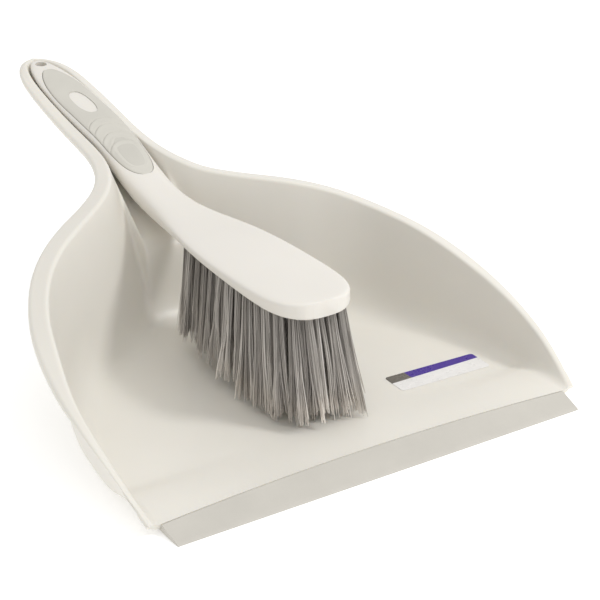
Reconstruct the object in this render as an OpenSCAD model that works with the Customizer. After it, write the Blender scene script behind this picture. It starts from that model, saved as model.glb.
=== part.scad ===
// Dust pan with a nesting hand brush.
// A thin moulded pan carries a soft lip along its front edge and an open trough as its handle.
// The brush lies in the trough, its head hangs over the scoop and its tufts end just above the floor.
// Millimetres, +Z up, +Y from the lip to the handle, origin under the middle of the whole set.

/* [Pan] */
// Overall length from the lip's front edge to the end of the handle
pan_l = 346.5; // [340:1:360]
// Wall thickness of the pan moulding
wall_t = 2.2; // [1.8:0.1:2.6]
// How far the middle of the front edge bows back from its ends
front_bow = 5.2; // [2:0.2:7]
// Drop of the curled edge of the rim
rim_curl = 2.4; // [1:0.1:3]

/* [Lip] */
// Width of the lip along the ground
lip_w = 204.6; // [198:0.1:208]
// Thickness of the lip's front edge
lip_edge_t = 0.7; // [0.5:0.1:1.2]
// Length of the lip's tongue under the pan's front edge
lip_tongue = 5; // [3:0.5:7]

/* [Sticker] */
// Length of the sticker
sticker_l = 50; // [30:1:55]
// Width of the sticker
sticker_w = 15; // [10:1:16]
// Thickness of the sticker
sticker_t = 0.15; // [0.1:0.05:0.3]

/* [Brush] */
// Radius of a tuft where it leaves the head
tuft_r = 2.3; // [1.6:0.1:2.6]
// Spacing of the tuft rows along the head
tuft_pitch = 7.4; // [7:0.1:8]
// Depth of the tuft holes
tuft_hole = 3; // [2:0.5:3]
// How far the front tufts lean forward, in degrees
front_lean = 13; // [8:1:20]
// Thickness of the soft inlay on the brush handle
grip_t = 1.4; // [1:0.1:2]
// Radius of the hanging hole at the end of the brush handle
hang_r = 3.2; // [2.5:0.1:3.4]

/* [Hidden] */
ROWS = 13;

ivory = [0.93, 0.915, 0.87];
greige = [0.84, 0.83, 0.785];
steel = [0.75, 0.75, 0.76];
bristle = [0.62, 0.60, 0.57];

// ---- Curves through hand-set stations ----

// One stretch of a Catmull-Rom curve between b and c
function spline(a, b, c, d, t) =
    0.5 * (2 * b + (c - a) * t + (2 * a - 5 * b + 4 * c - d) * t * t
        + (3 * b - a - 3 * c + d) * t * t * t);

// Value of a list of stations at station number s, which may lie between two stations
function along(list, s) =
    let (n = len(list) - 1, i = min(floor(s), n - 1), t = s - i)
    spline(list[max(i - 1, 0)], list[i], list[i + 1], list[min(i + 2, n)], t);

// Value of a list of [position, value...] rows at position p, between its first and last rows
function row_at(list, p, i = 0) =
    i >= len(list) - 2 || p <= list[i + 1][0]
    ? let (t = (p - list[i][0]) / (list[i + 1][0] - list[i][0]), n = len(list) - 1)
        spline(list[max(i - 1, 0)], list[i], list[i + 1], list[min(i + 2, n)], t)
    : row_at(list, p, i + 1);

function unit(v) = v / max(norm(v), 1e-9);

// Point on the curve that starts at a, heads for corner b and ends at c
function bend(a, b, c, t) = (1 - t) * (1 - t) * a + 2 * t * (1 - t) * b + t * t * c;

// ---- Pan shell ----

// Stations round one side of the pan, from the front corner to the end of the handle:
// foot of the wall x, y, z; outer edge of the rim x, y, z; rim width and rise; fillet at the foot
SIDE = [
    [105, 12, 4.4, 108.5, 11.4, 5.6, 1.5, -0.2, 1],
    [105.2, 24.5, 5.4, 111.2, 23.4, 12.8, 2.3, -0.2, 3.4],
    [106.6, 36.5, 4.8, 113, 35.2, 19.2, 3, 0, 5],
    [107.2, 47, 2.2, 114.2, 47, 24.4, 3.7, 0.2, 6.5],
    [106.6, 60, 2.2, 114.9, 60.5, 29.4, 4.6, 0.8, 8.5],
    [104.2, 78, 2.2, 114.9, 78, 35.1, 6.4, 1.4, 10],
    [98, 98, 2.2, 112, 101, 42, 8.6, 2.4, 12],
    [91, 115, 2.2, 105.6, 124, 48.4, 9, 2.6, 14],
    [81, 131, 2.2, 94, 148, 54.6, 9.6, 2.6, 16],
    [68, 144, 2.2, 80, 166, 60, 10.6, 2.6, 18],
    [53, 153, 2.2, 64, 181, 63.4, 11.6, 2.6, 18],
    [37, 163, 2.2, 47.6, 195, 65, 11, 2.6, 16],
    [24, 174, 2.4, 33.6, 208.5, 66.8, 9.6, 2.4, 11],
    [16.5, 183, 13, 25.6, 219, 70, 8, 2.1, 6],
    [14, 188, 38, 21.4, 231, 72.6, 7, 1.8, 4.5],
    [12.2, 206, 47, 19.6, 243, 74.8, 6.6, 1.6, 4.5],
    [11, 232, 58.6, 19, 260, 77.8, 6.4, 1.5, 4.5],
    [10.4, 260, 68.6, 18.9, 282, 82.6, 5.9, 1.4, 4.5],
    [10, 286, 76.2, 18.2, 304, 87.6, 5.5, 1.3, 4.5],
    [9, 308, 81.6, 16.6, 322, 91.8, 5, 1.2, 4],
    [7.4, 326, 86, 13, 334.5, 94.2, 4.1, 1.2, 3.2],
    [4.2, 336.5, 88, 7.2, 343, 95.4, 3.2, 1.1, 2.4],
    [0, 339.8, 88.6, 0, 346.5, 96, 2.9, 1, 2]
];
STATIONS = len(SIDE) - 1;
// Rows of points per station
CUTS = 2;
SIDE_ROWS = STATIONS * CUTS;

// Outward direction of the rim in plan at station s
function rim_out(s) =
    let (a = along(SIDE, max(s - 0.05, 0)), b = along(SIDE, min(s + 0.05, STATIONS)))
    s >= STATIONS ? [0, 1, 0] : unit([b[4] - a[4], a[3] - b[3], 0]);

// Points from the centreline to the fillet at the foot of the wall
FLOOR_POINTS = 8;

// Half of the pan's upper surface at station s: from the centreline to the curled edge of the rim
function half_section(s) =
    let (
        v = along(SIDE, s),
        out = rim_out(s),
        foot = [v[0], v[1], max(v[2], wall_t)],
        rim = [v[3], v[4], v[5]],
        top = rim - out * v[6] + [0, 0, v[7]],
        bow = front_bow * pow(max(1 - s / 5, 0), 1.5),
        middle_z = wall_t + (SIDE[0][2] - wall_t) * pow(max(1 - s / 3, 0), 1.2),
        lift = foot[2] - (s < 3 ? middle_z : foot[2]),
        middle_y = foot[1] + bow,
        fillet = foot[0] > v[8] ? v[8] : 0.7 * foot[0],
        wall = unit(top - foot),
        wall_foot = foot + wall * v[8] * 1.2,
        rim_w = norm(rim - top),
        turn = min(0.45 * rim_w, 3.2),
        wall_top = top - wall * turn,
        flange = top + (rim - top) * turn / rim_w,
        brink = rim - (rim - top) * min(0.4, 3.2 / rim_w),
        curl = rim_curl * min(max(v[6] - 2, 0) / 4, 1),
        edge = rim - [0, 0, curl],
        floor_end = foot - [fillet, 0, 0]
    )
    concat(
        [for (k = [0:FLOOR_POINTS - 1])
            let (u = k / FLOOR_POINTS)
            [floor_end[0] * u, middle_y - bow * u * u, foot[2] - lift * (1 - pow(u, 4))]],
        [for (k = [0:4]) bend(floor_end, foot, wall_foot, k / 4)],
        [(wall_foot + wall_top) / 2],
        [for (k = [0:2]) bend(wall_top, top, flange, k / 2)],
        [for (k = [0:3]) bend(brink, rim + [0, 0, 0.15 * curl], edge, k / 3)]
    );

HALF = [for (i = [0:SIDE_ROWS]) half_section(i / CUTS)];
PROFILE = len(HALF[0]) - 1;
// Spacing of the last row's floor points along the centreline
END_SPREAD = 0.12;

// Upper surface point of row i, where j runs from -PROFILE at the left rim to PROFILE at the right.
// The last row lies on the centreline, so its floor points are spread along it.
function top_point(i, j) =
    let (p = HALF[i][abs(j)])
    i < SIDE_ROWS ? [sign(j) * p[0], p[1], p[2]]
    : [0, p[1] - END_SPREAD * max(FLOOR_POINTS - abs(j), 0), p[2]];

// Unit direction across the sheet, from the upper surface to the under surface
function across(i, j) =
    let (
        i0 = max(i - 1, 0),
        i1 = min(i + 1, SIDE_ROWS),
        j0 = max(j - 1, -PROFILE),
        j1 = min(j + 1, PROFILE)
    )
    i == 0 ? [0, 0, -1]
    : i == SIDE_ROWS ? end_across(abs(j))
    : unit(cross(top_point(i1, j) - top_point(i0, j), top_point(i, j1) - top_point(i, j0)));

// The same at the end of the handle, where the last row lies in the plane x = 0
function end_across(k) =
    let (a = top_point(SIDE_ROWS, min(k + 1, PROFILE)) - top_point(SIDE_ROWS, max(k - 1, 0)))
    unit([0, a[2], -a[1]]);

function under_point(i, j) = top_point(i, j) + wall_t * across(i, j);

// Two triangles across the four corners of a patch
function patch(a, b, c, d) = [[a, b, c], [a, c, d]];

module pan_shell() {
    n = 2 * PROFILE + 1;
    rows = SIDE_ROWS;
    half_start = 2 * rows * n;
    // Index of a point: layer 0 is the upper surface and layer 1 the under surface
    function at(layer, i, j) =
        i < rows ? (layer * rows + i) * n + j : half_start + layer * (PROFILE + 1) + abs(j - PROFILE);
    points = concat(
        [for (i = [0:rows - 1]) for (j = [-PROFILE:PROFILE]) top_point(i, j)],
        [for (i = [0:rows - 1]) for (j = [-PROFILE:PROFILE]) under_point(i, j)],
        [for (j = [0:PROFILE]) top_point(rows, j)],
        [for (j = [0:PROFILE]) under_point(rows, j)]
    );
    upper = [for (i = [0:rows - 1]) for (j = [0:n - 2])
        each patch(at(0, i, j), at(0, i + 1, j), at(0, i + 1, j + 1), at(0, i, j + 1))];
    lower = [for (i = [0:rows - 1]) for (j = [0:n - 2])
        each patch(at(1, i, j), at(1, i, j + 1), at(1, i + 1, j + 1), at(1, i + 1, j))];
    front = [for (j = [0:n - 2])
        each patch(at(0, 0, j), at(0, 0, j + 1), at(1, 0, j + 1), at(1, 0, j))];
    left = [for (i = [0:rows - 1])
        each patch(at(0, i, 0), at(1, i, 0), at(1, i + 1, 0), at(0, i + 1, 0))];
    right = [for (i = [0:rows - 1])
        each patch(at(0, i, n - 1), at(0, i + 1, n - 1), at(1, i + 1, n - 1), at(1, i, n - 1))];
    color(ivory)
        translate([0, -pan_l / 2, 0])
            polyhedron(points, concat(upper, lower, front, left, right));
}

// ---- Lip ----

// A closed tube through rings of points: each ring is a list of points, in order along the tube
module rings(sections) {
    n = len(sections[0]);
    last = len(sections) - 1;
    points = [for (s = sections) each s];
    sides = [for (i = [0:last - 1]) for (j = [0:n - 1])
        each patch(i * n + j, i * n + (j + 1) % n, (i + 1) * n + (j + 1) % n, (i + 1) * n + j)];
    start = [for (j = [1:n - 2]) [0, j + 1, j]];
    finish = [for (j = [1:n - 2]) [last * n, last * n + j, last * n + j + 1]];
    polyhedron(points, concat(sides, start, finish));
}

// Front edge of the pan, y at distance x from the middle
function front_y(x) = SIDE[0][1] + front_bow * (1 - pow(x / SIDE[0][0], 2));

module front_lip() {
    steps = 24;
    pan_top = SIDE[0][2];
    pan_under = pan_top - wall_t;
    gap = 0.12;
    sole_t = 1.1;
    tongue_drop = 0.8;
    rear_w = lip_w + 2;
    sections = [for (i = [0:steps])
        let (u = 2 * i / steps - 1, x0 = u * lip_w / 2, x1 = u * rear_w / 2, y1 = front_y(x1) - gap)
        [
            [x0, 0, lip_edge_t],
            [x1, y1, pan_top],
            [x1, y1, pan_under - gap],
            [x1, y1 + lip_tongue, pan_under - gap - tongue_drop],
            [x1, y1 + lip_tongue, pan_under - sole_t - tongue_drop],
            [x1, y1, pan_under - sole_t],
            [x0, 3, 0],
            [x0, 0, 0]
        ]];
    color(greige)
        translate([0, -pan_l / 2, 0])
            rings(sections);
}

// ---- Sticker ----

// Middle of the sticker, from the middle of the lip's front edge
STICKER_X = 70;
STICKER_Y = 61;
STICKER_TURN = -2;

module sticker() {
    corner = 1.5;
    clear = 0.03;
    color("white")
        translate([STICKER_X, STICKER_Y - pan_l / 2, wall_t + clear])
            rotate(STICKER_TURN)
                linear_extrude(sticker_t) {
                    square([sticker_l - 2 * corner, sticker_w], center = true);
                    square([sticker_l, sticker_w - 2 * corner], center = true);
                    for (x = [-1, 1], y = [-1, 1])
                        translate([x * (sticker_l / 2 - corner), y * (sticker_w / 2 - corner)])
                            circle(corner, $fn = 32);
                }
}

// ---- Brush ----

// Stations along the brush: y from the lip; half width; top, widest and lowest height; squareness
BRUSH = [
    [51, 6, 60, 56, 52.4, 5],
    [52, 10.4, 60.2, 56, 52.2, 6],
    [54.5, 14.2, 60.4, 56, 52.4, 7],
    [59, 17.8, 60.5, 56, 52.8, 7],
    [67, 20.6, 60.6, 56.4, 53.4, 7],
    [79, 21.9, 60.7, 57, 54.2, 6.5],
    [92, 22.1, 60.8, 57.4, 54.9, 6],
    [107, 21.9, 60.9, 58, 55.5, 5.5],
    [122, 21.2, 61, 58.4, 55.9, 5],
    [138, 19.6, 61.1, 58.6, 56.1, 4.5],
    [152, 17.3, 61.2, 58.4, 55.6, 4],
    [168, 14.3, 61.5, 57.6, 53.6, 3.4],
    [184, 11.8, 62.6, 57.8, 52, 3],
    [200, 10.7, 65.2, 60, 52.4, 2.8],
    [216, 10.9, 69.6, 64.6, 56, 2.6],
    [232, 11.1, 75.4, 71, 62.4, 2.6],
    [248, 11.5, 80.6, 77.2, 68, 2.6],
    [266, 12, 84.4, 81.4, 73.2, 2.6],
    [286, 12.1, 88, 85, 78.6, 2.6],
    [304, 11.4, 91.2, 88.8, 83.2, 2.6],
    [316, 10.3, 93.3, 90.9, 86.2, 2.6],
    [326, 8.5, 94.9, 92.8, 88.4, 2.6],
    [334, 6.4, 95.9, 93.9, 90.2, 2.6],
    [338.8, 3.9, 96.3, 94.7, 92.2, 2.6],
    [341, 1.4, 96, 95, 93.8, 2.6]
];

// Height of the brush's upper surface at a distance x from the middle of station b
function crown(b, x) = b[3] + (b[2] - b[3]) * pow(max(1 - pow(abs(x) / b[1], b[5]), 0), 1 / b[5]);

// Ring of points round the brush at station b
function brush_ring(b, points = 24) =
    [for (k = [0:points - 1])
        let (
            angle = 360 * k / points,
            c = cos(angle),
            s = sin(angle),
            power = 2 / b[5],
            height = s > 0 ? b[2] - b[3] : b[3] - b[4]
        )
        [b[1] * sign(c) * pow(abs(c), power), b[0], b[3] + height * sign(s) * pow(abs(s), power)]];

// Stations with some more between them
BRUSH_ROWS = [for (i = [0:0.5:len(BRUSH) - 1]) along(BRUSH, i)];

// Soft inlay on top of the handle: y and half width
GRIP = [
    [212.5, 2], [215, 4.8], [219.5, 7], [226, 8.5], [235, 9.4], [246, 10], [262, 10.6],
    [286, 10.8], [302, 10], [314, 7.8], [322, 4.6], [325.5, 1.8]
];
// Thumb pad in the inlay: y and half width
PAD = [[218.5, 1.6], [220, 3.6], [224, 5.2], [231, 5.8], [237, 5.2], [241, 3.6], [242.5, 1.6]];
// Window in the inlay, where the hard plastic of the handle shows: y and half width
WINDOW = [[270, 1.2], [272, 3], [277, 4.5], [283, 4.8], [289, 4.3], [293.5, 2.8], [295, 1.2]];

// A sheet over the brush's upper surface, from depth down to height up, with its outline as stations
module on_handle(outline, up, down) {
    rows = [for (i = [0:0.5:len(outline) - 1]) along(outline, i)];
    cuts = 5;
    sections = [for (r = rows)
        let (b = row_at(BRUSH, r[0]), xs = [for (k = [-cuts:cuts]) r[1] * k / cuts])
        concat(
            [for (k = [0:2 * cuts]) [xs[k], r[0], crown(b, xs[k]) - down]],
            [for (k = [2 * cuts:-1:0]) [xs[k], r[0], crown(b, xs[k]) + up]]
        )];
    translate([0, -pan_l / 2, 0])
        rings(sections);
}

// Rows of tufts, numbered from the front of the head
function row_y(i) = 57.5 + tuft_pitch * (i - 1);
function row_lean(i) = front_lean * pow(max(1 - (i - 1) / 7, 0), 1.4);
// Height of the trimmed ends of row i: the front rows are the longest
function row_trim(i) = 7.2 + 6 * pow(sin(90 * min(max((i - 3) / 7, 0), 1)), 2);
TUFTS = 5;
// Outward lean of the outer tufts, in degrees
SIDE_LEAN = 4;

// Places its children at tuft k of row i, with +Z down along the tuft and 0 at the head's underside
module at_tuft(i, k) {
    y = row_y(i);
    b = row_at(BRUSH, y);
    place = 2 * k / (TUFTS - 1) - 1;
    x = place * (b[1] - 4.4);
    translate([x, y - pan_l / 2, b[4]])
        rotate([180 - row_lean(i), 0, 0])
            rotate([0, SIDE_LEAN * place, 0])
                children();
}

function tuft_reach(i) = (row_at(BRUSH, row_y(i))[4] - row_trim(i)) / cos(row_lean(i));

// Middle of the hanging hole and its tilt, square to the top of the handle
HANG_Y = 334.6;
HANG_Z = 93;
HANG_TILT = 10;

module brush_block() {
    hole_gap = 0.05;
    anchor_room = 0.6;
    color(ivory)
        difference() {
            translate([0, -pan_l / 2, 0])
                rings([for (b = BRUSH_ROWS) brush_ring(b)]);
            difference() {
                on_handle(GRIP, 4, grip_t);
                on_handle(WINDOW, 5, grip_t + 1);
            }
            translate([0, HANG_Y - pan_l / 2, HANG_Z])
                rotate([HANG_TILT, 0, 0])
                    cylinder(r = hang_r, h = 30, center = true, $fn = 48);
            for (i = [1:ROWS], k = [0:TUFTS - 1])
                at_tuft(i, k)
                    translate([0, 0, -tuft_hole - anchor_room])
                        cylinder(r = tuft_r + hole_gap, h = tuft_hole + anchor_room + 2, $fn = 32);
        }
}

module grip_inlay() {
    window_gap = 0.05;
    color(greige)
        difference() {
            on_handle(GRIP, 0.4, grip_t - 0.03);
            on_handle(PAD, 4, grip_t / 2);
            on_handle([for (w = WINDOW) w + [0, window_gap]], 4, grip_t + 1);
        }
}

module thumb_pad() {
    color([0.81, 0.80, 0.75])
        on_handle(PAD, 0.9, grip_t / 2 - 0.03);
}

module tuft_row(i) {
    spread = 1.12;
    color(bristle)
        for (k = [0:TUFTS - 1])
            at_tuft(i, k)
                translate([0, 0, -tuft_hole])
                    cylinder(r1 = tuft_r, r2 = tuft_r * spread, h = tuft_hole + tuft_reach(i), $fn = 32);
}

module tuft_anchors() {
    wire_l = 3.8;
    wire_w = 1.2;
    wire_t = 0.45;
    color(steel)
        for (i = [1:ROWS], k = [0:TUFTS - 1])
            at_tuft(i, k)
                translate([0, 0, -tuft_hole - wire_t / 2 - 0.06])
                    cube([wire_l, wire_w, wire_t], center = true);
}

pan_shell();
front_lip();
sticker();
brush_block();
grip_inlay();
thumb_pad();
tuft_anchors();
for (i = [1:ROWS]) tuft_row(i);
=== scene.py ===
"""Dust pan with a nesting hand brush: the looks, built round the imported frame.

Lengths are millimetres with y measured from the front edge of the lip, as in the part, unless a comment
says otherwise. make_object turns them into metres in the frame.
"""

import math

import bmesh
import bpy
import numpy as np
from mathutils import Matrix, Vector


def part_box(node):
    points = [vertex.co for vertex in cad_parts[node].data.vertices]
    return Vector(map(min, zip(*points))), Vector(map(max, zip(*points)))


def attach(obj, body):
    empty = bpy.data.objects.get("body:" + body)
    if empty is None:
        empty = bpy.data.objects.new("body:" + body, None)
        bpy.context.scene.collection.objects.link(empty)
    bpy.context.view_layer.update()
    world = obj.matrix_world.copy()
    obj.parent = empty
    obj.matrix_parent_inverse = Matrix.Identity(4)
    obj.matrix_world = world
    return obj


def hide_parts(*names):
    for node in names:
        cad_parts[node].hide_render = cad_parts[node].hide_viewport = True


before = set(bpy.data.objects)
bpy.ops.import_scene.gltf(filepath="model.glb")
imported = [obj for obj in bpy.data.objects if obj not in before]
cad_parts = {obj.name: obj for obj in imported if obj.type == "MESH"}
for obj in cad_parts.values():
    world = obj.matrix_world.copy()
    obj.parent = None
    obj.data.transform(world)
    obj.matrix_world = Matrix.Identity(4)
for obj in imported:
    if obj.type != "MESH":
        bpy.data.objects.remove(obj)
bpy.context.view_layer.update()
MM = 0.001
LIP_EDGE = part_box("front_lip")[0].y / MM

# ---- Shape of the pan, the same stations as the part ----

WALL = 2.2
# How far the front edge bows forward in the middle, and how many stations the bow takes to die out
FRONT_BOW = 5.2
BOW_STATIONS = 5
# How many stations the floor's middle takes to come down from the front edge
RAMP_STATIONS = 3
RIM_CURL = 2.4
# Legs of the rounded corner inside the rim and of its curled outer edge
RIM_TURN = 2.3
RIM_BRINK = 2.6
# Foot of the wall x, y, z; outer edge of the rim x, y, z; rim width and rise; fillet at the foot
SIDE = np.array([
    [105, 12, 4.4, 108.5, 11.4, 5.6, 1.5, -0.2, 1],
    [105.2, 24.5, 5.4, 111.2, 23.4, 12.8, 2.3, -0.2, 3.4],
    [106.6, 36.5, 4.8, 113, 35.2, 19.2, 3, 0, 5],
    [107.2, 47, 2.2, 114.2, 47, 24.4, 3.7, 0.2, 6.5],
    [106.6, 60, 2.2, 114.9, 60.5, 29.4, 4.6, 0.8, 8.5],
    [104.2, 78, 2.2, 114.9, 78, 35.1, 6.4, 1.4, 10],
    [98, 98, 2.2, 112, 101, 42, 8.6, 2.4, 12],
    [91, 115, 2.2, 105.6, 124, 48.4, 9, 2.6, 14],
    [81, 131, 2.2, 94, 148, 54.6, 9.6, 2.6, 16],
    [68, 144, 2.2, 80, 166, 60, 10.6, 2.6, 18],
    [53, 153, 2.2, 64, 181, 63.4, 11.6, 2.6, 18],
    [37, 163, 2.2, 47.6, 195, 65, 11, 2.6, 16],
    [24, 174, 2.4, 33.6, 208.5, 66.8, 9.6, 2.4, 11],
    [16.5, 183, 13, 25.6, 219, 70, 8, 2.1, 6],
    [14, 188, 38, 21.4, 231, 72.6, 7, 1.8, 4.5],
    [12.2, 206, 47, 19.6, 243, 74.8, 6.6, 1.6, 4.5],
    [11, 232, 58.6, 19, 260, 77.8, 6.4, 1.5, 4.5],
    [10.4, 260, 68.6, 18.9, 282, 82.6, 5.9, 1.4, 4.5],
    [10, 286, 76.2, 18.2, 304, 87.6, 5.5, 1.3, 4.5],
    [9, 308, 81.6, 16.6, 322, 91.8, 5, 1.2, 4],
    [7.4, 326, 86, 13, 334.5, 94.2, 4.1, 1.2, 3.2],
    [4.2, 336.5, 88, 7.2, 343, 95.4, 3.2, 1.1, 2.4],
    [0, 339.8, 88.6, 0, 346.5, 96, 2.9, 1, 2],
], float)
STATIONS = len(SIDE) - 1

# ---- Shape of the brush: y; half width; top, widest and lowest height; squareness ----

BRUSH = np.array([
    [51, 6, 60, 56, 52.4, 5],
    [52, 10.4, 60.2, 56, 52.2, 6],
    [54.5, 14.2, 60.4, 56, 52.4, 7],
    [59, 17.8, 60.5, 56, 52.8, 7],
    [67, 20.6, 60.6, 56.4, 53.4, 7],
    [79, 21.9, 60.7, 57, 54.2, 6.5],
    [92, 22.1, 60.8, 57.4, 54.9, 6],
    [107, 21.9, 60.9, 58, 55.5, 5.5],
    [122, 21.2, 61, 58.4, 55.9, 5],
    [138, 19.6, 61.1, 58.6, 56.1, 4.5],
    [152, 17.3, 61.2, 58.4, 55.6, 4],
    [168, 14.3, 61.5, 57.6, 53.6, 3.4],
    [184, 11.8, 62.6, 57.8, 52, 3],
    [200, 10.7, 65.2, 60, 52.4, 2.8],
    [216, 10.9, 69.6, 64.6, 56, 2.6],
    [232, 11.1, 75.4, 71, 62.4, 2.6],
    [248, 11.5, 80.6, 77.2, 68, 2.6],
    [266, 12, 84.4, 81.4, 73.2, 2.6],
    [286, 12.1, 88, 85, 78.6, 2.6],
    [304, 11.4, 91.2, 88.8, 83.2, 2.6],
    [316, 10.3, 93.3, 90.9, 86.2, 2.6],
    [326, 8.5, 94.9, 92.8, 88.4, 2.6],
    [334, 6.4, 95.9, 93.9, 90.2, 2.6],
    [338.8, 3.9, 96.3, 94.7, 92.2, 2.6],
    [341, 1.4, 96, 95, 93.8, 2.6],
], float)
GRIP_T = 1.4
GRIP = np.array([
    [212.5, 2], [215, 4.8], [219.5, 7], [226, 8.5], [235, 9.4], [246, 10], [262, 10.6], [286, 10.8],
    [302, 10], [314, 7.8], [322, 4.6], [325.5, 1.8],
], float)
PAD = np.array([
    [218.5, 1.6], [220, 3.6], [224, 5.2], [231, 5.8], [237, 5.2], [241, 3.6], [242.5, 1.6],
], float)
WINDOW = np.array([
    [270, 1.2], [272, 3], [277, 4.5], [283, 4.8], [289, 4.3], [293.5, 2.8], [295, 1.2],
], float)
HANG_Y = 334.6
HANG_Z = 93
HANG_TILT = math.radians(10)
HANG_R = 3.2

ROWS = 13
TUFTS = 5
TUFT_PITCH = 7.4
FRONT_LEAN = 13
SIDE_LEAN = 4


# ---- Curves ----

def spline(a, b, c, d, t):
    """One stretch of a Catmull-Rom curve between b and c."""
    straight = 2 * b + (c - a) * t
    square = (2 * a - 5 * b + 4 * c - d) * t * t
    cube = (3 * b - a - 3 * c + d) * t ** 3
    return 0.5 * (straight + square + cube)


def along(table, s):
    """Row of a table at station number s, which may lie between two stations."""
    last = len(table) - 1
    i = min(int(s), last - 1)
    return spline(table[max(i - 1, 0)], table[i], table[i + 1], table[min(i + 2, last)], s - i)


def row_at(table, p):
    """Row of a table at position p, where the first column holds the positions."""
    i = int(np.clip(np.searchsorted(table[:, 0], p) - 1, 0, len(table) - 2))
    return along(table, i + (p - table[i, 0]) / (table[i + 1, 0] - table[i, 0]))


def unit(v):
    """Vector of length one in the direction of v."""
    return v / max(np.linalg.norm(v), 1e-9)


def bend(a, b, c, steps):
    """Points along the curve that starts at a, heads for corner b and ends at c."""
    return [(1 - t) ** 2 * a + 2 * t * (1 - t) * b + t * t * c for t in np.linspace(0, 1, steps + 1)]


def between(a, b, steps):
    """Points between a and b that part the line into equal steps, without its ends."""
    return [a + (b - a) * k / steps for k in range(1, steps)]


# ---- Mesh helpers ----

def make_object(name, verts, faces):
    """Smooth mesh object from points in the part's millimetres."""
    verts = np.array(verts, float) + [0, LIP_EDGE, 0]
    mesh = bpy.data.meshes.new(name)
    mesh.from_pydata((verts * MM).tolist(), [], faces)
    mesh.validate()
    for polygon in mesh.polygons:
        polygon.use_smooth = True
    obj = bpy.data.objects.new(name, mesh)
    bpy.context.scene.collection.objects.link(obj)
    return obj


def tidy_normals(obj, merge=1e-6):
    """Merges points closer than merge, in metres, and turns every face outwards."""
    bm = bmesh.new()
    bm.from_mesh(obj.data)
    bmesh.ops.remove_doubles(bm, verts=bm.verts, dist=merge)
    bmesh.ops.recalc_face_normals(bm, faces=bm.faces)
    bm.to_mesh(obj.data)
    bm.free()


def apply_modifiers(obj):
    """Bakes the modifiers of obj into its mesh."""
    graph = bpy.context.evaluated_depsgraph_get()
    mesh = bpy.data.meshes.new_from_object(obj.evaluated_get(graph))
    obj.modifiers.clear()
    old = obj.data
    obj.data = mesh
    bpy.data.meshes.remove(old)


def sharp_edges(obj, degrees):
    """Smooth shading that breaks at edges sharper than the angle."""
    bm = bmesh.new()
    bm.from_mesh(obj.data)
    for edge in bm.edges:
        edge.smooth = len(edge.link_faces) == 2 and edge.calc_face_angle() < math.radians(degrees)
    for face in bm.faces:
        face.smooth = True
    bm.to_mesh(obj.data)
    bm.free()


def cut(obj, tool):
    """Takes tool out of obj, then removes tool."""
    modifier = obj.modifiers.new("cut", "BOOLEAN")
    modifier.operation = "DIFFERENCE"
    modifier.solver = "EXACT"
    modifier.object = tool
    bpy.context.view_layer.update()
    apply_modifiers(obj)
    bpy.data.objects.remove(tool)


def loft(name, sections):
    """Closed tube through rings of points."""
    count = len(sections[0])
    rings = [[i * count + j for j in range(count)] for i in range(len(sections))]
    faces = []
    for near, far in zip(rings[:-1], rings[1:]):
        for j in range(count):
            after = (j + 1) % count
            faces.append((near[j], near[after], far[after], far[j]))
    faces.append(tuple(reversed(rings[0])))
    faces.append(tuple(rings[-1]))
    obj = make_object(name, np.concatenate(sections), faces)
    tidy_normals(obj)
    return obj


# ---- Pan ----

# Rows of points for each stretch between two stations, then steps across each part of a section
PAN_CUTS = 10
FLOOR_STEPS = 22
FILLET_STEPS = 10
WALL_STEPS = 6
TURN_STEPS = 8
FLANGE_STEPS = 4
EDGE_STEPS = 5
# How many times the upper skin is evened along the pan and the under skin across it
UPPER_PASSES = 6
UNDER_PASSES = 10
# How far each floor point stays from the next one at the handle's end, back and down
END_SPREAD = np.array([0, 0.05, 0.01])
# How far a half-round edge stands out, as a share of half the wall's thickness
EDGE_BULGE = 0.8
# Stations on either side of a point from which the rim's direction is taken
RIM_LOOK = 0.05
# Rim reach at which the curl begins, how much more gives the full curl, and the share of it that rises
CURL_FROM = 2
CURL_OVER = 4
CURL_CREST = 0.15
# Most of a narrow rim's width that its inner corner and its outer edge each round off
TURN_SHARE = 0.45
BRINK_SHARE = 0.4
# Most of a narrow floor's half width that the fillet takes, and how much further it reaches up the wall
FILLET_SHARE = 0.7
FILLET_UP = 1.2


def rim_out(s):
    """Outward direction of the rim in plan at station s."""
    if s >= STATIONS:
        return np.array([0.0, 1.0, 0.0])
    a = along(SIDE, max(s - RIM_LOOK, 0))
    b = along(SIDE, min(s + RIM_LOOK, STATIONS))
    return unit(np.array([b[4] - a[4], a[3] - b[3], 0]))


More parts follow.
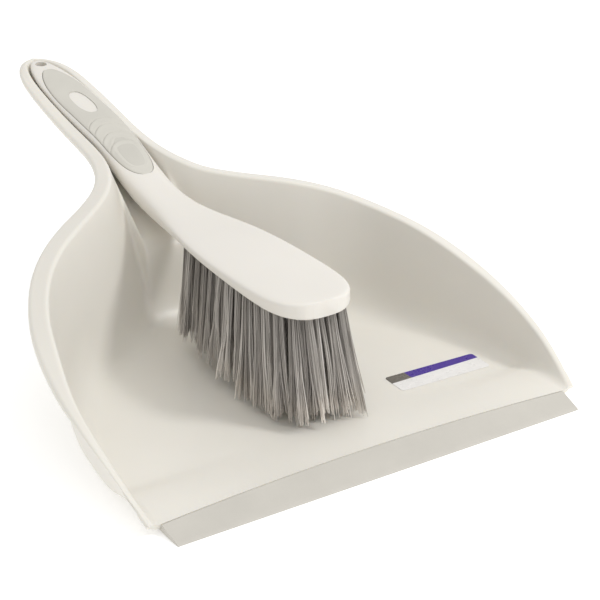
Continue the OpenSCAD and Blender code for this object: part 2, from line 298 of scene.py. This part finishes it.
def half_section(s):
    """Half of the upper surface at station s, from the centreline to the curled edge of the rim."""
    foot_x, foot_y, foot_z, rim_x, rim_y, rim_z, rim_reach, rim_rise, fillet_r = along(SIDE, s)
    foot = np.array([foot_x, foot_y, max(foot_z, WALL)])
    rim = np.array([rim_x, rim_y, rim_z])
    top = rim - rim_out(s) * rim_reach + [0, 0, rim_rise]

    # The floor bows forward in the middle and rises to both sides, most of all at the front
    bow = FRONT_BOW * max(1 - s / BOW_STATIONS, 0) ** 1.5
    middle_z = WALL + (SIDE[0, 2] - WALL) * max(1 - s / RAMP_STATIONS, 0) ** 1.2
    lift = foot[2] - middle_z if s < RAMP_STATIONS else 0
    fillet = fillet_r if foot_x > fillet_r else FILLET_SHARE * foot_x
    floor_end = foot - [fillet, 0, 0]
    points = []
    for k in range(FLOOR_STEPS):
        u = k / FLOOR_STEPS
        points.append([floor_end[0] * u, foot[1] + bow * (1 - u * u), foot[2] - lift * (1 - u ** 4)])

    # Then come the fillet, the wall, the corner inside the rim, the flat flange and the curled edge
    up_wall = unit(top - foot)
    wall_foot = foot + up_wall * fillet_r * FILLET_UP
    rim_width = np.linalg.norm(rim - top)
    turn = min(TURN_SHARE * rim_width, RIM_TURN)
    wall_top = top - up_wall * turn
    flange = top + (rim - top) * turn / rim_width
    brink = rim - (rim - top) * min(BRINK_SHARE, RIM_BRINK / rim_width)
    curl = RIM_CURL * min(max(rim_reach - CURL_FROM, 0) / CURL_OVER, 1)
    points += bend(floor_end, foot, wall_foot, FILLET_STEPS)
    points += between(wall_foot, wall_top, WALL_STEPS)
    points += bend(wall_top, top, flange, TURN_STEPS)
    points += between(flange, brink, FLANGE_STEPS)
    points += bend(brink, rim + [0, 0, CURL_CREST * curl], rim - [0, 0, curl], TURN_STEPS)
    return np.array(points, float)


def smooth_rows(grid, passes):
    """Evens a grid of points from row to row in place, keeping its first and last rows."""
    for _ in range(passes):
        grid[1:-1] = 0.5 * grid[1:-1] + 0.25 * (grid[:-2] + grid[2:])


def pan_surface():
    """Upper surface as a grid: rows from the front to the handle's end, columns from left to right."""
    half = np.array([half_section(i / PAN_CUTS) for i in range(STATIONS * PAN_CUTS + 1)])
    smooth_rows(half, UPPER_PASSES)
    for k in range(FLOOR_STEPS):
        half[-1, k] -= END_SPREAD * (FLOOR_STEPS - k)
    half[-1, :, 0] = 0
    left = half[:, :0:-1] * [-1, 1, 1]
    return np.concatenate([left, half], axis=1)


def grid_normals(grid):
    """Unit normals of a grid, pointing to the under side."""
    normals = np.cross(np.gradient(grid, axis=0), np.gradient(grid, axis=1))
    normals /= np.maximum(np.linalg.norm(normals, axis=2, keepdims=True), 1e-12)
    # The last row lies folded in the middle plane, so its normals are square to it in that plane
    middle = grid.shape[1] // 2
    tangent = np.gradient(grid[-1, middle:], axis=0)
    side = np.stack([np.zeros(len(tangent)), tangent[:, 2], -tangent[:, 1]], axis=1)
    side /= np.maximum(np.linalg.norm(side, axis=1, keepdims=True), 1e-12)
    normals[-1, middle:] = side
    normals[-1, :middle + 1] = side[::-1]
    return normals


def edge_strip(verts, ring_top, ring_under, outward):
    """Half-round strip between two rings of point numbers, closed at its front end.

    Its new points go at the end of the list verts. Returns its faces.
    """
    chains = []
    for top, under, out in zip(ring_top, ring_under, outward):
        middle = (verts[top] + verts[under]) / 2
        half = (verts[top] - verts[under]) / 2
        reach = unit(out) * np.linalg.norm(half) * EDGE_BULGE
        chain = [top]
        for k in range(1, EDGE_STEPS):
            angle = math.pi * k / EDGE_STEPS
            chain.append(len(verts))
            verts.append(middle + half * math.cos(angle) + reach * math.sin(angle))
        chain.append(under)
        chains.append(chain)
    faces = []
    for near, far in zip(chains[:-1], chains[1:]):
        for k in range(EDGE_STEPS):
            faces.append((near[k], far[k], far[k + 1], near[k + 1]))
    faces.append(tuple(chains[0]))
    return faces


def make_pan():
    """Thin moulded shell with rounded edges, as one closed skin."""
    upper = pan_surface()
    under = upper + grid_normals(upper) * WALL
    smooth_rows(under.swapaxes(0, 1), UNDER_PASSES)
    rows, columns = upper.shape[:2]
    top, bottom = np.arange(2 * rows * columns).reshape(2, rows, columns).tolist()
    faces = []
    for i in range(rows - 1):
        for j in range(columns - 1):
            faces.append((top[i][j], top[i][j + 1], top[i + 1][j + 1], top[i + 1][j]))
            faces.append((bottom[i][j], bottom[i + 1][j], bottom[i + 1][j + 1], bottom[i][j + 1]))
    for j in range(columns - 1):
        faces.append((top[0][j], bottom[0][j], bottom[0][j + 1], top[0][j + 1]))
    verts = list(np.concatenate([upper.reshape(-1, 3), under.reshape(-1, 3)]))
    for edge, inside in ((0, 1), (-1, -2)):
        ring_top = [row[edge] for row in top]
        ring_under = [row[edge] for row in bottom]
        faces += edge_strip(verts, ring_top, ring_under, upper[:, edge] - upper[:, inside])
    obj = make_object("pan", verts, faces)
    tidy_normals(obj, merge=2e-5)
    sharp_edges(obj, degrees=50)
    return obj


# ---- Brush block and grip ----

BLOCK_CUTS = 8
BLOCK_AROUND = 112
SEAT_GAP = 0.34
WINDOW_GAP = 0.12
# How far the seat's and the window's cutting tools stand above the brush's surface
SEAT_REACH = 4
WINDOW_REACH = 6
# Radius of the rounded edge of the sheets on the handle, seen from above
SHEET_ROUND = 0.9
# The soft sheets stop this far above the bottom of their seat
SOLE_GAP = 0.03
GRIP_PROUD = 0.4
PAD_PROUD = 0.45


def crown(b, x):
    """Height of the brush's upper surface at a distance x from the middle of station b."""
    _, half, top, wide, _, square = b
    reach = np.maximum(1 - np.power(np.minimum(np.abs(x) / half, 1), square), 0)
    return wide + (top - wide) * np.power(reach, 1 / square)


def brush_ring(b):
    """Ring of points round the brush at station b."""
    y, half, top, wide, low, square = b
    angle = 2 * math.pi * np.arange(BLOCK_AROUND) / BLOCK_AROUND
    c, s = np.cos(angle), np.sin(angle)
    height = np.where(s > 0, top - wide, wide - low)
    x = half * np.sign(c) * np.abs(c) ** (2 / square)
    z = wide + height * np.sign(s) * np.abs(s) ** (2 / square)
    return np.stack([x, np.full_like(x, y), z], axis=1)


def stations_every(outline, step):
    """Station numbers along an outline, at most step apart in y and at least six for each stretch."""
    numbers = [0.0]
    for i in range(len(outline) - 1):
        count = max(6, math.ceil((outline[i + 1, 0] - outline[i, 0]) / step))
        numbers += [i + (k + 1) / count for k in range(count)]
    return numbers


def on_handle(name, outline, up, down, cuts=20, step=1.5, swell=0.0, relief=None):
    """Sheet from down below the brush's upper surface to up above it, with a rounded top edge.

    The outline grows sideways by swell, and relief(x, y) adds height to the top.
    """
    sections = []
    for s in stations_every(outline, step):
        y, half = along(outline, s)
        half += swell
        xs = half * np.sin(np.linspace(-1, 1, 2 * cuts + 1) * math.pi / 2)
        base = crown(row_at(BRUSH, y), xs)
        near_edge = np.clip((half - np.abs(xs)) / SHEET_ROUND, 0, 1)
        near_end = np.clip(min(y - outline[0, 0], outline[-1, 0] - y) / SHEET_ROUND, 0, 1)
        rounding = np.sqrt(np.clip(1 - (1 - near_edge * near_end) ** 2, 0, 1))
        top = base + up * rounding
        if relief is not None:
            top = top + relief(xs, y) * rounding
        lower = np.stack([xs, np.full_like(xs, y), base - down], axis=1)
        upper = np.stack([xs, np.full_like(xs, y), top], axis=1)
        sections.append(np.concatenate([lower, upper[::-1]]))
    return loft(name, sections)


def make_block():
    """Head, neck and handle, with the seat of the grip and the hanging hole."""
    rows = [along(BRUSH, i / BLOCK_CUTS) for i in range((len(BRUSH) - 1) * BLOCK_CUTS + 1)]
    obj = loft("brush", [brush_ring(b) for b in rows])
    seat = on_handle("seat", GRIP, SEAT_REACH, GRIP_T, swell=SEAT_GAP)
    cut(seat, on_handle("island", WINDOW, WINDOW_REACH, GRIP_T + 1))
    cut(obj, seat)
    bpy.ops.mesh.primitive_cylinder_add(
        vertices=72,
        radius=HANG_R * MM,
        depth=30 * MM,
        location=(0, (HANG_Y + LIP_EDGE) * MM, HANG_Z * MM),
        rotation=(HANG_TILT, 0, 0),
    )
    cut(obj, bpy.context.object)
    tidy_normals(obj)
    sharp_edges(obj, 40)
    bevel = obj.modifiers.new("round", "BEVEL")
    bevel.width = 0.35 * MM
    bevel.segments = 2
    bevel.limit_method = "ANGLE"
    bevel.angle_limit = math.radians(50)
    apply_modifiers(obj)
    return obj


# Creases across the grip, y on the middle line, and how fast they fall back to the sides
ARCS = (263, 256.5, 248, 240)
ARC_BEND = 0.068
CREASE_DEPTH = 0.55
CREASE_WIDTH = 0.5
# The swell in front of each crease: how far from it, its height and width
SWELL_OFFSET = 1.6
SWELL_HEIGHT = 0.30
SWELL_WIDTH = 1.5
# The ridge round the thumb pad: how far outside the pad's border, its height and width
RIDGE_OFFSET = 1.1
RIDGE_HEIGHT = 0.25
RIDGE_WIDTH = 0.8


def hump(distance, width):
    """Bell curve of height one."""
    return np.exp(-(distance / width) ** 2)


def grip_relief(x, y):
    """Shape of the grip's top: creased arcs behind the thumb pad and a ridge on both sides of it."""
    height = np.zeros_like(x)
    for crease in ARCS:
        distance = y + ARC_BEND * x * x - crease
        height -= CREASE_DEPTH * hump(distance, CREASE_WIDTH)
        height += SWELL_HEIGHT * hump(distance + SWELL_OFFSET, SWELL_WIDTH)
    if PAD[0, 0] < y < PAD[-1, 0]:
        pad_half = row_at(PAD, y)[1]
        height += RIDGE_HEIGHT * hump(np.abs(x) - pad_half - RIDGE_OFFSET, RIDGE_WIDTH)
    return height


def make_grip():
    """Soft sheet in the handle's seat, with its window and relief."""
    obj = on_handle("grip", GRIP, GRIP_PROUD, GRIP_T - SOLE_GAP, cuts=26, step=0.4, relief=grip_relief)
    cut(obj, on_handle("window", WINDOW, WINDOW_REACH, GRIP_T + 1, swell=WINDOW_GAP))
    sharp_edges(obj, 45)
    return obj


def make_thumb_pad():
    """Oval pad that stands just above the grip."""
    return on_handle("thumb_rest", PAD, PAD_PROUD, GRIP_T / 2 - SOLE_GAP, cuts=16, step=0.8)


# ---- Lip ----

LIP_CUTS = 96
SLOPE_CUTS = 6
# Height of the lip's front edge, and its gap to the pan
LIP_FRONT = 0.7
LIP_GAP = 0.12
# Length and thickness of the tongue under the pan
TONGUE = 5
TONGUE_T = 1.1


def front_y(x):
    """Front edge of the pan, y at distance x from the middle."""
    return SIDE[0, 1] + FRONT_BOW * (1 - (x / SIDE[0, 0]) ** 2)


def lip_outline(back):
    """Outline of the lip from front to back as y, z, where back is its rear face."""
    pan_top = SIDE[0, 2]
    pan_under = pan_top - WALL
    slope = between(np.array([0, LIP_FRONT]), np.array([back, pan_top]), SLOPE_CUTS)
    return [
        # Front edge, softened above and below
        (0, 0.15),
        (0, 0.5),
        (0.2, LIP_FRONT),
        *slope,
        # Rounded corner against the pan's front edge
        (back - 0.5, pan_top - 0.12),
        (back - 0.1, pan_top - 0.35),
        (back, pan_top - 0.9),
        # Tongue
        (back, pan_under - LIP_GAP),
        (back + TONGUE, pan_under - LIP_GAP),
        (back + TONGUE, pan_under - TONGUE_T),
        (back, pan_under - TONGUE_T),
        # Sole
        (3, 0),
        (0.2, 0),
    ]


def make_lip():
    """Soft strip in front of the pan: a wedge down to a thin edge, with a tongue under the pan."""
    rear_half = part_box("front_lip")[1].x / MM
    front_half = rear_half - 1
    sections = []
    for u in np.linspace(-1, 1, LIP_CUTS + 1):
        back = front_y(u * rear_half) - LIP_GAP
        section = []
        for y, z in lip_outline(back):
            half = front_half + (rear_half - front_half) * min(y / back, 1)
            section.append([u * half, y, z])
        sections.append(np.array(section))
    obj = loft("lip", sections)
    sharp_edges(obj, 35)
    return obj


# ---- Bristles ----

FIRST_ROW_Y = 57.5
# How far the outer tufts stand in from the side of the head, and how deep the roots reach into it
TUFT_INSET = 4.4
ROOT_DEPTH = 0.6
TUFT_R = 2.1
CLUMP_R = 0.95
CLUMPS = 7
FILAMENTS = 11
FILAMENT_STEPS = 8
FILAMENT_SIDES = 4
FILAMENT_R = (0.15, 0.23)
# Share by which a filament's last ring is slimmer
TIP_TAPER = 0.4
# Height of the tips above the ground: in the front rows, and how much more in the rear ones
FRONT_TRIM = 7.2
REAR_TRIM_RISE = 6
# No filament reaches lower than this, so that none touches the pan's floor
LOWEST_TIP = 3.4
# Standard deviations of the random heights of a tuft's, a clump's and a filament's end
TUFT_END = 0.8
CLUMP_END = 1.3
FILAMENT_END = 0.9
# Slopes: outwards from the tuft's middle, then the random lean of a clump and of a filament
SPLAY = 0.045
CLUMP_SWAY = 0.018
FILAMENT_SWAY = 0.008
# Random side waves of a clump, and how many radians they turn through
WAVE = 0.5
WAVE_TURN = 5
# How far a filament closes in on its clump's middle at the tip, as a share, and how far its end frays
CLOSE_IN = 0.35
FRAY = 0.7
# Share of a filament's tone that it has from its clump
CLUMP_TONE = 0.55
BRISTLE_SEED = 11


def row_y(i):
    """Place of tuft row i, counted from 1 at the front."""
    return FIRST_ROW_Y + TUFT_PITCH * (i - 1)


def row_lean(i):
    """Forward lean of row i, which dies out over the front seven rows."""
    return math.radians(FRONT_LEAN * max(1 - (i - 1) / 7, 0) ** 1.4)


def row_trim(i):
    """Height of the tips of row i, which rises from row 3 to row 10."""
    rise = min(max((i - 3) / 7, 0), 1)
    return FRONT_TRIM + REAR_TRIM_RISE * math.sin(math.pi / 2 * rise) ** 2


def disc(rng, radius):
    """Random point in a disc."""
    angle = rng.random() * 2 * math.pi
    return np.array([math.cos(angle), math.sin(angle)]) * radius * rng.random() ** 0.5


def clump_filaments(rng, root, lean, place, trim):
    """Centrelines of the filaments of one clump, which draw together at their ends.

    place is the tuft's place across its row, from -1 to 1.
    """
    heart = disc(rng, TUFT_R)
    slope = np.array([math.tan(math.radians(SIDE_LEAN) * place), -math.tan(lean)])
    slope = slope + heart / TUFT_R * SPLAY + rng.normal(0, CLUMP_SWAY, 2)
    end = trim + rng.normal(0, CLUMP_END)
    wave = rng.normal(0, WAVE, 2)
    t = np.linspace(0, 1, FILAMENT_STEPS)[:, None]
    lines = []
    for _ in range(FILAMENTS):
        offset = heart + disc(rng, CLUMP_R)
        tip = end + rng.normal(0, FILAMENT_END)
        # About a third of the filaments are shorter than the rest
        tip = max(tip + max(rng.normal(-1, 2), 0), LOWEST_TIP)
        way = slope + rng.normal(0, FILAMENT_SWAY, 2)
        drop = root[2] - tip
        flat = root[:2] + offset + way * drop * t - CLOSE_IN * (offset - heart) * t * t
        flat = flat + wave * np.sin(WAVE_TURN * t) * t + rng.normal(0, FRAY, 2) * t ** 3
        lines.append(np.hstack([flat, root[2] - drop * t]))
    return lines


class Bundle:
    """Filaments of one row, gathered as points, faces and a tone for each point."""

    turns = 2 * math.pi * np.arange(FILAMENT_SIDES) / FILAMENT_SIDES
    ring = np.stack([np.cos(turns), np.sin(turns), 0 * turns], axis=1)

    def __init__(self):
        self.verts = []
        self.faces = []
        self.tones = []

    def add(self, line, radius, tone):
        """Thin tube along a centreline, open at its root."""
        base = len(self.verts)
        for step, centre in enumerate(line):
            taper = 1 - TIP_TAPER * (step == FILAMENT_STEPS - 1)
            self.verts.extend(centre + self.ring * radius * taper)
        for step in range(FILAMENT_STEPS - 1):
            near = base + step * FILAMENT_SIDES
            far = near + FILAMENT_SIDES
            for side in range(FILAMENT_SIDES):
                after = (side + 1) % FILAMENT_SIDES
                self.faces.append((near + side, far + side, far + after, near + after))
        self.faces.append(tuple(range(len(self.verts) - FILAMENT_SIDES, len(self.verts))))
        self.tones += [tone] * (len(self.verts) - base)

    def make(self, name):
        """The row as one object, with the tones as a point attribute."""
        obj = make_object(name, self.verts, self.faces)
        layer = obj.data.attributes.new("tone", "FLOAT", "POINT")
        layer.data.foreach_set("value", np.array(self.tones, np.float32))
        return obj


def make_tufts():
    """Every tuft as a bundle of clumped filaments, one object for each row."""
    rng = np.random.default_rng(BRISTLE_SEED)
    rows = []
    for i in range(1, ROWS + 1):
        _, half, _, _, under, _ = row_at(BRUSH, row_y(i))
        bundle = Bundle()
        for place in np.linspace(-1, 1, TUFTS):
            root = np.array([place * (half - TUFT_INSET), row_y(i), under + ROOT_DEPTH])
            trim = row_trim(i) + rng.normal(0, TUFT_END)
            for _ in range(CLUMPS):
                clump_tone = rng.random()
                for line in clump_filaments(rng, root, row_lean(i), place, trim):
                    radius = rng.uniform(*FILAMENT_R)
                    tone = CLUMP_TONE * clump_tone + (1 - CLUMP_TONE) * rng.random()
                    bundle.add(line, radius, tone)
        rows.append(bundle.make(f"bristles_{i}"))
    return rows


# ---- Materials ----

class Nodes:
    """Small helper that adds and links shader nodes."""

    def __init__(self, name):
        self.material = bpy.data.materials.new(name)
        self.material.use_nodes = True
        self.tree = self.material.node_tree
        self.shader = self.tree.nodes["Principled BSDF"]
        self.place = self.add("ShaderNodeTexCoord").outputs["Object"]

    def add(self, kind, **settings):
        node = self.tree.nodes.new(kind)
        for key, value in settings.items():
            setattr(node, key, value)
        return node

    def link(self, source, target):
        self.tree.links.new(source, target)

    def noise(self, scale, detail=3, roughness=0.5, place=None):
        """Noise of 0 to 1, with its scale in cycles for each metre."""
        node = self.add("ShaderNodeTexNoise")
        node.inputs["Scale"].default_value = scale
        node.inputs["Detail"].default_value = detail
        node.inputs["Roughness"].default_value = roughness
        self.link(place or self.place, node.inputs["Vector"])
        return node.outputs["Fac"]

    def ramp(self, factor, stops):
        """Colour ramp with stops of (position, colour)."""
        node = self.add("ShaderNodeValToRGB")
        elements = node.color_ramp.elements
        while len(elements) < len(stops):
            elements.new(0.5)
        for element, (position, colour) in zip(elements, stops):
            element.position = position
            element.color = (*colour, 1)
        self.link(factor, node.inputs["Fac"])
        return node.outputs["Color"]

    def spread(self, factor, low, high):
        """Maps a factor of 0 to 1 to the range low to high."""
        node = self.add("ShaderNodeMapRange")
        node.inputs["To Min"].default_value = low
        node.inputs["To Max"].default_value = high
        self.link(factor, node.inputs["Value"])
        return node.outputs["Result"]

    def share(self, axis, low, high):
        """Place along an axis of the object as a factor: 0 at low and 1 at high, in metres."""
        split = self.add("ShaderNodeSeparateXYZ")
        self.link(self.place, split.inputs[0])
        node = self.add("ShaderNodeMapRange")
        node.inputs["From Min"].default_value = low
        node.inputs["From Max"].default_value = high
        self.link(split.outputs[axis], node.inputs["Value"])
        return node.outputs["Result"]

    def math(self, operation, a, b):
        """Sum, product or the like of two factors, each a socket or a number."""
        node = self.add("ShaderNodeMath", operation=operation)
        self.feed(a, node.inputs[0])
        self.feed(b, node.inputs[1])
        return node.outputs[0]

    def feed(self, value, target):
        """Sets a socket to a number or a colour, or links another socket to it."""
        if isinstance(value, tuple):
            target.default_value = (*value, 1)
        elif isinstance(value, (int, float)):
            target.default_value = value
        else:
            self.link(value, target)

    def mix(self, factor, a, b, blend="MIX"):
        """Blend of two colours, each a socket or a plain colour."""
        node = self.add("ShaderNodeMix", data_type="RGBA", blend_type=blend)
        for index, value in ((0, factor), (6, a), (7, b)):
            self.feed(value, node.inputs[index])
        return node.outputs[2]

    def bump(self, height, strength, distance, normal=None):
        """Normal bent by a height of 0 to 1, which stands for a distance in metres."""
        node = self.add("ShaderNodeBump")
        node.inputs["Strength"].default_value = strength
        node.inputs["Distance"].default_value = distance
        self.link(height, node.inputs["Height"])
        if normal is not None:
            self.link(normal, node.inputs["Normal"])
        return node.outputs["Normal"]

    def finish(self, colour, roughness, normal, specular=0.5):
        """Joins colour, roughness and normal to the shader and hands over the material."""
        self.link(colour, self.shader.inputs["Base Color"])
        self.link(roughness, self.shader.inputs["Roughness"])
        self.link(normal, self.shader.inputs["Normal"])
        self.shader.inputs["Specular IOR Level"].default_value = specular
        return self.material


def moulded_plastic(name, colour, gloss):
    """Polypropylene: faint flow clouds, a fine spark-eroded grain and a few duller scratches."""
    n = Nodes(name)
    clouds = n.noise(scale=14, detail=4)
    dark = tuple(c * 0.955 for c in colour)
    tint = n.ramp(clouds, [(0.3, dark), (0.7, colour)])
    grain = n.noise(scale=2600, detail=2)
    ripple = n.noise(scale=60, detail=2)
    scratch_place = n.add("ShaderNodeMapping")
    scratch_place.inputs["Scale"].default_value = (900, 30, 200)
    scratch_place.inputs["Rotation"].default_value = (0, 0, 0.5)
    n.link(n.place, scratch_place.inputs["Vector"])
    scratches = n.noise(scale=1, detail=3, roughness=0.6, place=scratch_place.outputs["Vector"])
    lines = n.ramp(scratches, [(0.7, (0, 0, 0)), (0.78, (1, 1, 1))])
    rough = n.spread(n.noise(scale=35, detail=4), gloss - 0.05, gloss + 0.07)
    rough = n.math("ADD", rough, n.math("MULTIPLY", lines, 0.06))
    normal = n.bump(grain, strength=0.10, distance=0.00004)
    normal = n.bump(ripple, strength=0.06, distance=0.0004, normal=normal)
    material = n.finish(tint, rough, normal, specular=0.42)
    n.shader.inputs["Subsurface Weight"].default_value = 0.12
    n.shader.inputs["Subsurface Radius"].default_value = (1.0, 0.85, 0.6)
    n.shader.inputs["Subsurface Scale"].default_value = 0.002
    return material


def soft_rubber(name, colour, rough_low, rough_high):
    """Thermoplastic rubber: matt, with a fine pebble and faint clouds."""
    n = Nodes(name)
    clouds = n.noise(scale=40, detail=5, roughness=0.6)
    tint = n.ramp(clouds, [(0.3, tuple(c * 0.93 for c in colour)), (0.72, colour)])
    pebble = n.noise(scale=1700, detail=3)
    rough = n.spread(n.noise(scale=90, detail=4), rough_low, rough_high)
    normal = n.bump(pebble, strength=0.25, distance=0.00006)
    return n.finish(tint, rough, normal, specular=0.35)


def bristle_material():
    """Grey filaments, each with its own tone, with painted shade darkening them towards the roots under
    the head and painted light paling them towards the tips.
    """
    n = Nodes("bristle")
    tone = n.add("ShaderNodeAttribute", attribute_name="tone").outputs["Fac"]
    shades = n.ramp(tone, [
        (0.0, (0.20, 0.18, 0.16)),
        (0.4, (0.50, 0.465, 0.43)),
        (1.0, (0.92, 0.88, 0.83)),
    ])
    # Painted shade and light: darker towards the roots under the head, paler towards the tips
    root_shade_tip_light = n.ramp(n.share("Z", 0.004, 0.056), [
        (0.0, (1.25, 1.22, 1.16)),
        (0.3, (1.0, 1.0, 1.0)),
        (1.0, (0.72, 0.72, 0.72)),
    ])
    colour = n.mix(1, shades, root_shade_tip_light, "MULTIPLY")
    rough = n.spread(tone, 0.32, 0.5)
    normal = n.bump(n.noise(scale=900, detail=2), strength=0.15, distance=0.00003)
    return n.finish(colour, rough, normal, specular=0.4)


def sticker_material():
    """White gloss paper with a plain violet band along its rear edge, grey at the band's left end."""
    n = Nodes("sticker")
    low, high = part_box("sticker")
    band = n.ramp(n.share("Y", low.y, high.y), [(0.60, (0, 0, 0)), (0.61, (1, 1, 1))])
    grey_end = n.ramp(n.share("X", low.x, high.x), [(0.22, (1, 1, 1)), (0.23, (0, 0, 0))])
    paper = n.ramp(n.noise(scale=300, detail=4), [
        (0.3, (0.81, 0.795, 0.78)),
        (0.7, (0.86, 0.845, 0.83)),
    ])
    violet = n.ramp(n.noise(scale=500, detail=3), [
        (0.3, (0.045, 0.012, 0.27)),
        (0.7, (0.055, 0.018, 0.30)),
    ])
    colour = n.mix(band, paper, n.mix(grey_end, violet, (0.135, 0.122, 0.105)))
    rough = n.spread(n.noise(scale=200, detail=3), 0.22, 0.34)
    normal = n.bump(n.noise(scale=500, detail=2), strength=0.06, distance=0.00004)
    return n.finish(colour, rough, normal, specular=0.5)


def wire_material():
    """Drawn steel wire, a little uneven in tone and polish."""
    n = Nodes("anchor_wire")
    tint = n.ramp(n.noise(scale=400, detail=3), [(0.3, (0.52, 0.52, 0.53)), (0.7, (0.66, 0.66, 0.67))])
    rough = n.spread(n.noise(scale=900, detail=3), 0.28, 0.45)
    normal = n.bump(n.noise(scale=3000, detail=2), strength=0.2, distance=0.00002)
    n.shader.inputs["Metallic"].default_value = 1
    return n.finish(tint, rough, normal)


def floor_material():
    """White studio floor that glows a little, so that it stays white in the object's surroundings."""
    n = Nodes("floor")
    tint = n.ramp(n.noise(scale=6, detail=3), [(0.3, (0.94, 0.94, 0.94)), (0.7, (0.96, 0.96, 0.96))])
    n.shader.inputs["Emission Color"].default_value = (1, 1, 1, 1)
    n.shader.inputs["Emission Strength"].default_value = 0.3
    rough = n.spread(n.noise(scale=20, detail=3), 0.75, 0.85)
    normal = n.bump(n.noise(scale=400, detail=2), strength=0.03, distance=0.0001)
    return n.finish(tint, rough, normal, specular=0.2)


def paint(obj, material):
    """Gives obj the material and no other."""
    obj.data.materials.clear()
    obj.data.materials.append(material)


# ---- Stage ----

# Places and sizes in metres in the frame, power in watts, the camera's lens and sensor in millimetres
LIP_EDGE_M = LIP_EDGE * MM
CAMERA_PLACE = (-0.3478, -0.4640 + LIP_EDGE_M, 0.3405)
CAMERA_TARGET = (0.06315, 0.16880 + LIP_EDGE_M, 0)
CAMERA_LENS = 96
CAMERA_SENSOR = 36
FLOOR_SIZE = 8
KEY_PLACE = (0.72, -0.72, 1.1)
KEY_SIZE = 0.26
KEY_POWER = 7
TOP_PLACE = (0, -0.1, 1.45)
TOP_SIZE = 1.4
TOP_POWER = 3.6
SKY_COLOUR = (1.0, 0.995, 0.985, 1)
SKY_STRENGTH = 0.68


def aim(obj, place, target):
    """Puts a light or a camera at its place, looking at the target, and links it to the scene."""
    obj.location = place
    obj.rotation_euler = (Vector(target) - Vector(place)).to_track_quat("-Z", "Y").to_euler()
    bpy.context.scene.collection.objects.link(obj)


def make_floor():
    """Plain pale floor, far wider than the view."""
    bpy.ops.mesh.primitive_plane_add(size=FLOOR_SIZE, location=(0, 0, 0))
    floor = bpy.context.object
    floor.name = "floor"
    paint(floor, floor_material())


def make_sky():
    """Even studio light from all round."""
    world = bpy.data.worlds.new("studio")
    world.use_nodes = True
    sky = world.node_tree.nodes["Background"].inputs
    sky["Color"].default_value = SKY_COLOUR
    sky["Strength"].default_value = SKY_STRENGTH
    bpy.context.scene.world = world


def make_softbox(name, place, size, power):
    """Square area light aimed at the origin."""
    light = bpy.data.lights.new(name, "AREA")
    light.shape = "SQUARE"
    light.size = size
    light.energy = power
    aim(bpy.data.objects.new(name, light), place, (0, 0, 0))


def make_camera():
    """Camera at the photograph's angle."""
    camera = bpy.data.cameras.new("camera")
    camera.lens = CAMERA_LENS
    camera.sensor_width = CAMERA_SENSOR
    camera.clip_start = 0.01
    obj = bpy.data.objects.new("camera", camera)
    aim(obj, CAMERA_PLACE, CAMERA_TARGET)
    bpy.context.scene.camera = obj
    bpy.context.scene.view_settings.view_transform = "Standard"


# ---- Assembly ----

PAN_IVORY = (0.815, 0.788, 0.724)
BRUSH_IVORY = (0.824, 0.7931, 0.7375)
GREIGE = (0.655, 0.635, 0.575)
PAD_GREIGE = (0.6092, 0.5906, 0.5348)
LIP_TONE = (0.61, 0.585, 0.53)

pan_plastic = moulded_plastic("pan_plastic", PAN_IVORY, 0.36)
brush_plastic = moulded_plastic("brush_plastic", BRUSH_IVORY, 0.33)
lip_rubber = soft_rubber("lip_rubber", LIP_TONE, 0.5, 0.62)
grip_rubber = soft_rubber("grip_rubber", GREIGE, 0.44, 0.56)
pad_rubber = soft_rubber("pad_rubber", PAD_GREIGE, 0.6, 0.72)

pan = make_pan()
paint(pan, pan_plastic)
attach(pan, "pan")
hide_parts("pan_shell")

lip = make_lip()
paint(lip, lip_rubber)
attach(lip, "pan")
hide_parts("front_lip")

paint(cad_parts["sticker"], sticker_material())
paint(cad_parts["tuft_anchors"], wire_material())

block = make_block()
paint(block, brush_plastic)
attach(block, "brush")
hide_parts("brush_block")

grip = make_grip()
paint(grip, grip_rubber)
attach(grip, "brush")
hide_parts("grip_inlay")

thumb_rest = make_thumb_pad()
paint(thumb_rest, pad_rubber)
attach(thumb_rest, "brush")
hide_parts("thumb_pad")

bristles = bristle_material()
for number, tuft_row in enumerate(make_tufts(), start=1):
    paint(tuft_row, bristles)
    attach(tuft_row, "brush")
    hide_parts(f"tuft_row_{number}")

make_floor()
make_sky()
make_softbox("key", KEY_PLACE, KEY_SIZE, KEY_POWER)
make_softbox("top", TOP_PLACE, TOP_SIZE, TOP_POWER)
make_camera()
